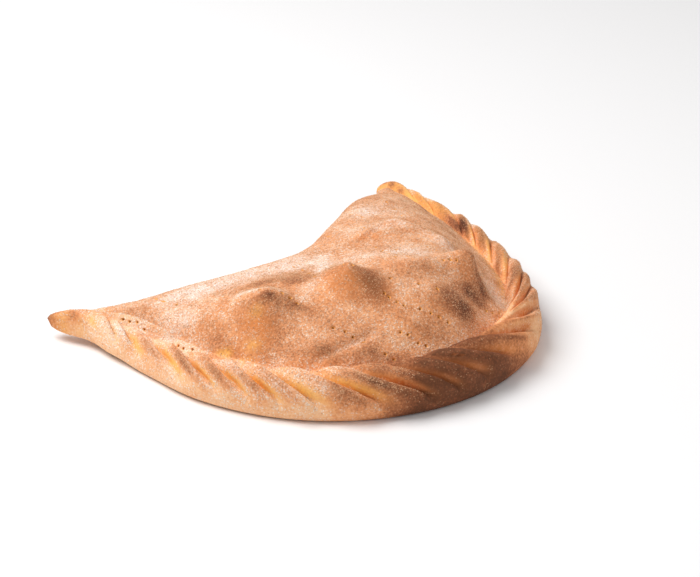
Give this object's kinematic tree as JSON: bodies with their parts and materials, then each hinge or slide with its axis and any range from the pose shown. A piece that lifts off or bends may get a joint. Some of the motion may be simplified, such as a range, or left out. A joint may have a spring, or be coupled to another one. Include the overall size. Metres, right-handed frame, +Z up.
{
  "type": "scacciata",
  "caption": "Half-moon folded bread with a domed, bubbled crust and a thick rim twisted like a rope, tapering to a blunt tip at each end. It lies flat as food or a food prop.",
  "frame": {"origin": "centre of the bounding box, on the flat underside", "axes": "+Z up out of the crust; +X from the left tip to the right tip, along the longest side; +Y from the roped rim towards the fold"},
  "size_m": [0.3366, 0.2611, 0.0713],
  "materials": {
    "scacciata": "matte baked crust dusted with semolina"
  },
  "bodies": {
    "root": {"scacciata": "scacciata"}
  },
  "joints": []
}
